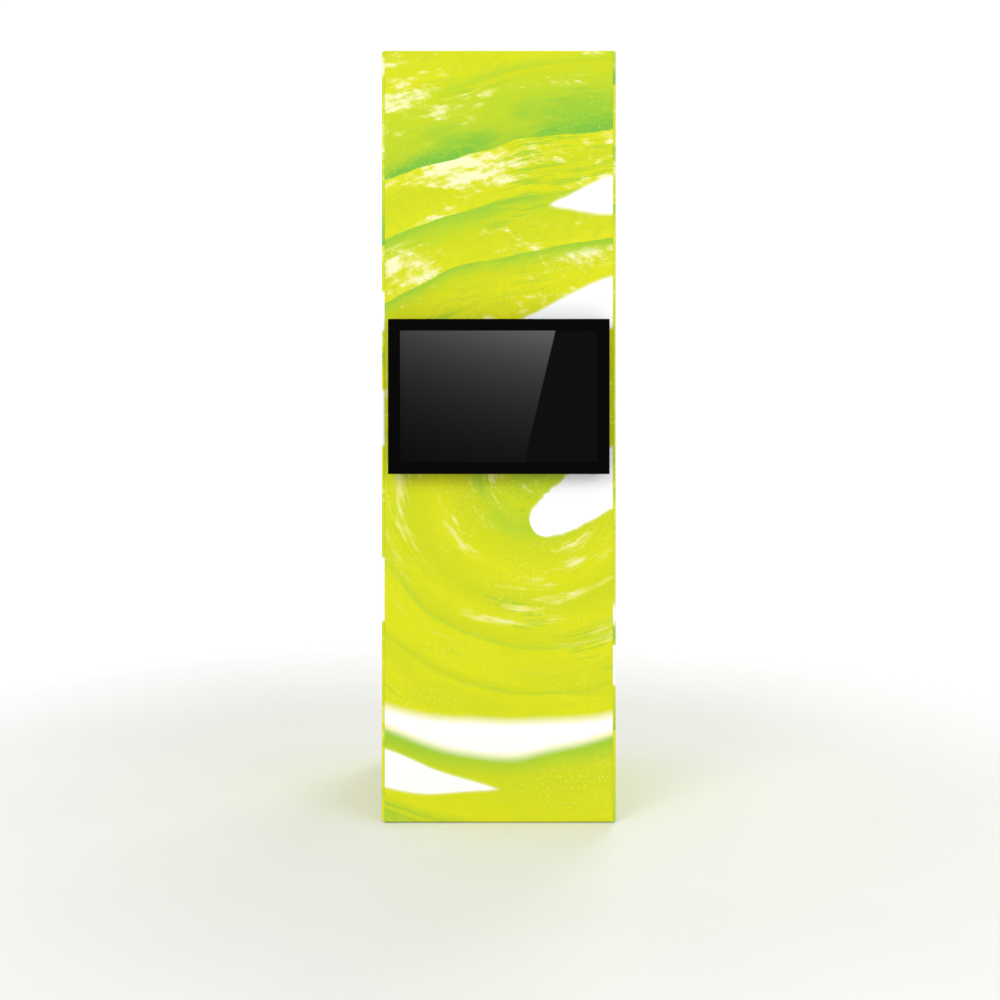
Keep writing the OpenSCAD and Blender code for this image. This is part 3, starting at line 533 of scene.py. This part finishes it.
def dress_equipment():
    dress(moulded("bezel_black", rgb(2, 2, 2), 0.42, shine=0.06), "bezel")
    dress(moulded("key_grey", rgb(52, 52, 55), 0.4), "power_button", "input_button",
          "volume_rocker")
    dress(moulded("cover_black", rgb(20, 20, 21), 0.55, 0.5, 500.0), "rear_cover", "speakers")
    dress(moulded("infrared_filter", rgb(10, 5, 6), 0.12, 0.02, coat=0.5), "touch_frame")
    dress(screen_glass(), "touch_glass")
    dress(moulded("panel_surface", rgb(9, 9, 11), 0.4), "lcd_panel")
    dress(circuit_green(), "circuit_boards")
    dress(moulded("inlet_black", rgb(22, 22, 23), 0.45), "power_inlet")
    dress(moulded("switch_red", rgb(176, 26, 20), 0.25, 0.05, coat=0.3), "inlet_switch")
    dress(moulded("player_paint", rgb(30, 31, 34), 0.5, 0.5, 500.0), "media_player")
    dress(moulded("strip_white", rgb(232, 232, 226), 0.38), "power_strip")


# ---- Fabric -----------------------------------------------------------------------------------

SHEET = 0.9 * MM
FOLD_R = 1.3 * MM          # radius of the fabric where it turns into a groove
TUCK = 5 * MM              # how far it is modelled into the groove
INSET = SEAM - 0.2 * MM    # from a side face to the side fabric's tucked edge
ROW = 22 * MM              # size of a mesh cell on the open face
CALM = 60 * MM             # slackness fades out this close to an edge
FOLD_STEPS, CORNER_STEPS = 4, 6


def spread(low, high, extra=()):
    """Numbers from low to high about a row apart, with some extra ones among them."""
    count = max(1, round((high - low) / ROW))
    even = [low + (high - low) * i / count for i in range(count + 1)]
    inner = [v for v in even[1:-1] if all(abs(v - e) > 4 * MM for e in extra)]
    return sorted([low, high, *inner, *extra])


def hole_lines(index):
    """Extra mesh lines round the front fabric's holes: index 0 across, 1 up."""
    lines = set()
    for hole in FRONT_HOLES:
        lines.update(round(hole[index] + hole[2] * k, 5) for k in (-0.95, -0.4, 0.4, 0.95))
    return sorted(lines)


def quarter(steps):
    """Angles from 0 to a right angle."""
    return [math.pi / 2 * i / steps for i in range(steps + 1)]


def fold(length):
    """The turn into a groove as (outwards, inwards) steps, with a straight run after it."""
    turns = quarter(FOLD_STEPS)[1:]
    bend = [(FOLD_R * math.sin(t), FOLD_R * (1 - math.cos(t))) for t in turns]
    return bend + [(FOLD_R, FOLD_R + length * k) for k in (0.5, 1.0)]


def section(low, high, length, extra=()):
    """A folded section: (place, inwards) from one tucked edge to the other."""
    start = [(low + FOLD_R - a, d) for a, d in reversed(fold(length))]
    end = [(high - FOLD_R + a, d) for a, d in fold(length)]
    return start + [(v, 0.0) for v in spread(low + FOLD_R, high - FOLD_R, extra)] + end


def slack(across, up, seed):
    """How far a tensioned fabric stands in from its plane, away from its edges."""
    wave = noise.noise(Vector((across * 2.2, up * 1.3, seed)))
    crease = noise.noise(Vector((across * 9.0, up * 5.0, seed + 5)))
    return max(0.0, 0.5 * MM * wave + 0.12 * MM * crease)


def pucker(gap, along, seed):
    """Fine gathers that run in from a tucked edge and die out within a few centimetres."""
    wave = math.sin(along * 190 + 3 * noise.noise(Vector((along * 6, seed, 0))))
    return 0.11 * MM * math.exp(-gap / (28 * MM)) * (1 + wave)


def sheet(name, points, node, side):
    """A closed thin fabric from a grid of points on its outer face."""
    build = bmesh.new()
    grid = [[build.verts.new(p) for p in line] for line in points]
    for lower, upper in zip(grid, grid[1:]):
        for a, b, c, d in zip(lower, lower[1:], upper[1:], upper):
            build.faces.new((a, b, c, d))
    bmesh.ops.remove_doubles(build, verts=build.verts, dist=0.02 * MM)
    if side == "front":
        for hole in FRONT_HOLES:
            cut_hole(build, hole)
    for face in build.faces:
        face.smooth = True
    mesh = bpy.data.meshes.new(name)
    build.to_mesh(mesh)
    build.free()
    mesh.materials.append(printed_face(name + "_print", side))
    mesh.materials.append(lining(name + "_back", side))
    piece = bpy.data.objects.new(name, mesh)
    bpy.context.scene.collection.objects.link(piece)
    thick = piece.modifiers.new("thickness", "SOLIDIFY")
    thick.thickness = SHEET
    thick.offset = -1.0
    thick.material_offset = 1
    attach(piece, "tower")
    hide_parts(node)


def cut_hole(build, hole):
    """Removes the faces inside a round hole, and draws its rim onto the circle."""
    x, z, radius = hole
    inside = [f for f in build.faces if abs(f.calc_center_median().y + HALF) < FOLD_R
              and math.hypot(f.calc_center_median().x - x, f.calc_center_median().z - z) < radius]
    bmesh.ops.delete(build, geom=inside, context="FACES")
    for vert in build.verts:
        if vert.is_boundary and math.hypot(vert.co.x - x, vert.co.z - z) < 1.5 * radius:
            out = Vector((vert.co.x - x, 0, vert.co.z - z)).normalized() * radius
            vert.co.x, vert.co.z = x + out.x, z + out.z


def flat_fabric(name, node, side, low):
    """The front or rear fabric, from the height low to the top."""
    facing = -1 if side == "front" else 1
    seed = SEEDS[side]
    reach = HALF - SEAM
    columns, lines = (hole_lines(0), hole_lines(1)) if side == "front" else ((), ())
    points = []
    for z, over in section(low, TOP, SEAM - 2 * FOLD_R, lines):
        line = []
        for u, dip in section(-reach, reach, TUCK, columns):
            gap = min(reach - abs(u), TOP - z, z - low)
            give = 0.0
            if gap >= FOLD_R:
                give = slack(u, z, seed) * min(1.0, gap / CALM) + pucker(reach - abs(u), z, seed)
            depth = max(over, dip) + give
            line.append(Vector((-facing * u, facing * (HALF - depth), z)))
        points.append(line)
    sheet(name, points, node, side)


def side_plan():
    """Plan of a side fabric, front to rear, as (place in y, distance in from the side face)."""
    turns = quarter(CORNER_STEPS)
    tuck = [(d, INSET) for d in (TUCK, TUCK / 2)]
    bend = [(FOLD_R * (1 - math.sin(t)), INSET - FOLD_R * (1 - math.cos(t))) for t in turns]
    corner = [(CORNER_R * (1 - math.cos(t)), CORNER_R * (1 - math.sin(t))) for t in turns]
    end = [(d - HALF, p) for d, p in tuck + bend + corner]
    middle = [(y, 0.0) for y in spread(CORNER_R - HALF, HALF - CORNER_R)[1:-1]]
    return end + middle + [(-y, p) for y, p in reversed(end)]


def side_fabric(name, node, side):
    """The left or right fabric, which wraps a little way onto the front and the rear."""
    facing = -1 if side == "left" else 1
    seed = SEEDS[side]
    points = []
    for z, over in section(BOTTOM, TOP, SEAM - 2 * FOLD_R):
        height = 2 * (z - BOTTOM) / (TOP - BOTTOM) - 1
        line = []
        for y, wrap in side_plan():
            gap = min(HALF - abs(y), TOP - z, z - BOTTOM)
            give = 0.0
            if wrap == 0 and gap >= FOLD_R:
                give = slack(y, z, seed) * min(1.0, gap / CALM)
            depth = max(wrap, min(over, INSET)) + give
            fall = SIDE_FALL * (1 - min(depth / SEAM, 1.0)) * height
            line.append(Vector((facing * (HALF - depth), y, z - fall)))
        points.append(line if facing > 0 else line[::-1])
    sheet(name, points, node, side)


def dress_tower():
    flat_fabric("front_fabric", "front_graphic", "front", BOTTOM)
    flat_fabric("rear_fabric", "rear_graphic", "rear", HEADER_SEAM)
    side_fabric("left_fabric", "left_graphic", "left")
    side_fabric("right_fabric", "right_graphic", "right")
    dress(printed_panel("door_print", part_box("door_panel")[1].y), "door_panel")


# ---- Cables -----------------------------------------------------------------------------------

MAINS_R, LEAD_R, THIN_R = 4 * MM, 3.5 * MM, 3 * MM
LEAD_UP = 20 * MM          # the leads lie this far above the shelf
LEAD_CROSS = 40 * MM       # and the display's mains lead crosses this far above them
LEAD_APART = 16 * MM       # between the display's two leads in their hole
CABLE_BEND = 28 * MM
BOOT = ((0, 2.1), (14, 2.1), (17, 1.7), (30, 1.25), (38, 1.0))  # mm from the end, thickness


def rounded(points):
    """A route with each corner turned into a bend."""
    route = [points[0]]
    for before, corner, after in zip(points, points[1:], points[2:]):
        into, out = (before - corner), (after - corner)
        bend = min(CABLE_BEND, into.length / 2, out.length / 2)
        start, end = corner + into.normalized() * bend, corner + out.normalized() * bend
        for i in range(9):
            t = i / 8
            route.append(start * (1 - t) ** 2 + corner * 2 * t * (1 - t) + end * t * t)
    return route + [points[-1]]


def booted(points):
    """The route's points with a thickness each, moulded thicker where it plugs in at its end."""
    route = rounded(points)
    back = (route[-2] - route[-1]).normalized()
    plug = [(route[-1] + back * mm * MM, thick) for mm, thick in reversed(BOOT)]
    return [(p, 1.0) for p in route[:-1]] + plug


def cables(name, node, routes):
    """One curve piece from (radius, points) routes."""
    curve = bpy.data.curves.new(name, "CURVE")
    curve.dimensions = "3D"
    curve.bevel_depth = 1.0
    curve.bevel_resolution = 4
    curve.use_fill_caps = True
    for radius, points in routes:
        path = booted([Vector(p) for p in points])
        spline = curve.splines.new("POLY")
        spline.points.add(len(path) - 1)
        for point, (place, thick) in zip(spline.points, path):
            point.co = (*place, 1.0)
            point.radius = radius * thick
        spline.use_smooth = True
    curve.materials.append(CABLE_LOOK)
    piece = bpy.data.objects.new(name, curve)
    bpy.context.scene.collection.objects.link(piece)
    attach(piece, "tower")
    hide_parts(node)


def lay_cables():
    """The same routes as the solid cables, with bends and moulded plugs."""
    strip_lo, strip_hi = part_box("power_strip")
    player_lo, player_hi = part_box("media_player")
    mains_lo, mains_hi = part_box("mains_cable")
    low = strip_lo.z + LEAD_UP
    high = low + LEAD_CROSS
    strip_x, strip_y = (strip_lo.x + strip_hi.x) / 2, (strip_lo.y + strip_hi.y) / 2
    player_x = (player_lo.x + player_hi.x) / 2
    inlet_x, inlet_z = mains_hi.x - MAINS_R, mains_lo.z + MAINS_R
    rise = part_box("rear_left_post")[0].y - 60 * MM
    cables("mains_lead", "mains_cable", [(MAINS_R, [
        (inlet_x, mains_hi.y, inlet_z), (inlet_x, rise, inlet_z), (strip_x, rise, inlet_z),
        (strip_x, rise, low), (strip_x, strip_hi.y, low)])])
    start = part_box("rear_cover")[1].y - 12 * MM
    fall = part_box("display_rails")[1].y + 40 * MM
    plug_x = strip_x + 90 * MM
    turn = strip_lo.y - 30 * MM
    side_x = strip_hi.x + 20 * MM
    back = player_lo.y - 25 * MM
    in_x = player_x - 60 * MM
    hole_z = LEAD_HOLE[1]
    left, right = -LEAD_APART / 2, LEAD_APART / 2
    cables("leads", "equipment_leads", [
        (LEAD_R, [(left, start, hole_z), (left, fall, hole_z), (left, fall, high),
                  (plug_x, fall, high), (plug_x, turn, high), (plug_x, turn, low),
                  (plug_x, strip_lo.y, low)]),
        (THIN_R, [(right, start, hole_z), (right, fall, hole_z), (right, fall, low),
                  (player_x, fall, low), (player_x, player_lo.y, low)]),
        (THIN_R, [(strip_hi.x, strip_y, low), (side_x, strip_y, low), (side_x, back, low),
                  (in_x, back, low), (in_x, player_lo.y, low)])])


CABLE_LOOK = moulded("cable_black", rgb(18, 18, 19), 0.55, 0.3, 300.0)


# ---- Room, light and camera -------------------------------------------------------------------

SEEN = 1.05                # how bright the white room is, straight into the camera
SURROUND = 0.74            # on matt surfaces
LOW_GLOSS = 0.35           # in reflections, low down
HIGH_GLOSS = 1.20          # and overhead
CAMERA = Vector((0.0, -5.377, 1.69))
LENS = 45.31
SHIFT = (0.0012, -0.1095)
CARD_Y = -9.0              # the glare card stands this far in front of the tower's middle
CARD_HALF, CARD_TALL = 4.0, 5.0
CARD_DIM = 0.1             # brightness of the card outside its window
GLARE_SLANT = 0.162        # lean of the glare's edge, over the half heights and widths
GLARE_EDGE = 0.40          # where that edge crosses the middle of the screen


def emitter(name, build):
    """A glowing material from build(graph), its brightness and how solid it is."""
    made = bpy.data.materials.new(name)
    made.use_nodes = True
    tree = made.node_tree
    tree.nodes.clear()
    graph = Graph(tree)
    level, solid = build(graph)
    mixed = tree.nodes.new("ShaderNodeMixShader")
    parts = (solid, graph.node("ShaderNodeBsdfTransparent"),
             graph.node("ShaderNodeEmission", Strength=level))
    for slot, part in zip(mixed.inputs, parts):
        plug(tree, part, slot)
    tree.links.new(mixed.outputs[0], tree.nodes.new("ShaderNodeOutputMaterial").inputs[0])
    return made


def plane(name, corners, look):
    mesh = bpy.data.meshes.new(name)
    mesh.from_pydata(corners, [], [(0, 1, 2, 3)])
    mesh.materials.append(look)
    made = bpy.data.objects.new(name, mesh)
    bpy.context.scene.collection.objects.link(made)
    return made


def glare_card():
    """A dark card behind the camera with one pale slanted window, seen only in reflections."""
    mirror_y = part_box("touch_glass")[0].y
    grow = 1 + (mirror_y - CARD_Y) / (mirror_y - CAMERA.y)
    panel_lo, panel_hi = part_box("lcd_panel")
    half_w, half_h = (panel_hi.x - panel_lo.x) / 2, (panel_hi.z - panel_lo.z) / 2
    middle = CAMERA.z + (DISPLAY_Z - CAMERA.z) * grow

    def look(g):
        x, _, z = g.place()
        u = x / (grow * half_w)
        v = (z - middle) / (grow * half_h)
        slant = v * GLARE_SLANT + GLARE_EDGE
        window = g.smooth(slant + 0.004, slant - 0.004, u) * g.smooth(1.15, 1.10, abs(v))
        window = window * g.smooth(-1.15, -1.10, u)
        glow = (v * 1.45).math("MINIMUM", 2.0).math("EXPONENT")
        level = g.blend(window, CARD_DIM, glow * (u * 0.26 + 0.57))
        solid = g.smooth(3.4, 1.4, abs(x)) * g.smooth(3.0, 1.1, abs(z - middle))
        return level, solid

    low, high = [((-CARD_HALF, CARD_Y, z), (CARD_HALF, CARD_Y, z)) for z in (0, CARD_TALL)]
    card = plane("glare_card", [*low, *reversed(high)], emitter("glare", look))
    card.visible_camera = card.visible_diffuse = card.visible_shadow = False
    card.visible_transmission = False


def world():
    """White to the camera, even light on matt surfaces, and in reflections darker lower down."""
    scene = bpy.context.scene
    scene.world = scene.world or bpy.data.worlds.new("studio")
    scene.world.use_nodes = True
    tree = scene.world.node_tree
    background = tree.nodes["Background"]
    g = Graph(tree)
    seen = Value(tree, g.node("ShaderNodeLightPath", "Is Camera Ray"))
    glossy = Value(tree, g.node("ShaderNodeLightPath", "Is Glossy Ray"))
    direction = tree.nodes.new("ShaderNodeSeparateXYZ")
    tree.links.new(g.node("ShaderNodeTexCoord"), direction.inputs[0])
    height = Value(tree, direction.outputs[2])
    reflected = g.blend(g.smooth(-0.25, 0.75, height), LOW_GLOSS, HIGH_GLOSS)
    level = g.blend(glossy, SURROUND, reflected)
    background.inputs["Color"].default_value = (1, 1, 1, 1)
    plug(tree, g.blend(seen, level, SEEN), background.inputs["Strength"])


def pale_floor():
    """A plain pale floor that fades into the white surround away from the tower."""
    def build(g):
        x, y, z = g.place()
        far = g.smooth(1.4, 4.0, (x * x + y * y).math("SQRT"))
        cloud = g.noise(g.vector(x, y, z), 1.2, 3.0)
        return {"Base Color": g.mix(cloud, rgb(234, 234, 232), rgb(242, 242, 240)),
                "Roughness": 0.6, "Alpha": far * -1.0 + 1.0}
    return material("pale_floor", build)


def area(name, place, target, size, power):
    data = bpy.data.lights.new(name, "AREA")
    data.shape, data.size, data.energy = "SQUARE", size, power
    lamp = bpy.data.objects.new(name, data)
    lamp.location = place
    lamp.rotation_euler = (Vector(target) - Vector(place)).to_track_quat("-Z", "Y").to_euler()
    bpy.context.scene.collection.objects.link(lamp)
    lamp.visible_glossy = False


def room():
    plane("floor", [(-14, -14, 0), (14, -14, 0), (14, 14, 0), (-14, 14, 0)], pale_floor())
    glare_card()
    world()
    area("key", (-3.6, -5.5, 4.6), (0, 0, 1.5), 3.0, 138)
    area("fill", (4.4, -4.5, 3.4), (0, 0, 1.5), 3.5, 74)
    area("back", (2.5, 5.5, 4.2), (0, 0, 1.4), 3.0, 130)


def camera():
    """A level camera, shifted so that uprights stay upright. Other views drop the shift."""
    data = bpy.data.cameras.new("camera")
    data.lens = LENS
    data.sensor_width = 36.0
    cam = bpy.data.objects.new("camera", data)
    cam.location = CAMERA
    cam.rotation_euler = (math.pi / 2, 0, 0)
    bpy.context.scene.collection.objects.link(cam)
    bpy.context.scene.camera = cam
    for path, shift in zip(("shift_x", "shift_y"), SHIFT):
        driver = data.driver_add(path).driver
        spot = driver.variables.new()
        spot.name = "y"
        spot.targets[0].id = cam
        spot.targets[0].data_path = "location[1]"
        driver.expression = f"{shift} if abs(y - {CAMERA.y}) < 0.001 else 0.0"


dress_frame()
dress_equipment()
dress_tower()
lay_cables()
soften(0.8 * MM, "equipment_shelf")
soften(0.5 * MM, "kick_panel")
soften(0.3 * MM, "power_button", "input_button", "player_button", "lock_body", "touch_frame")
soften(0.2 * MM, "power_strip", "inlet_switch")
soften(0.1 * MM, "media_player", "power_inlet")
room()
camera()
bpy.context.scene.view_settings.view_transform = "Standard"
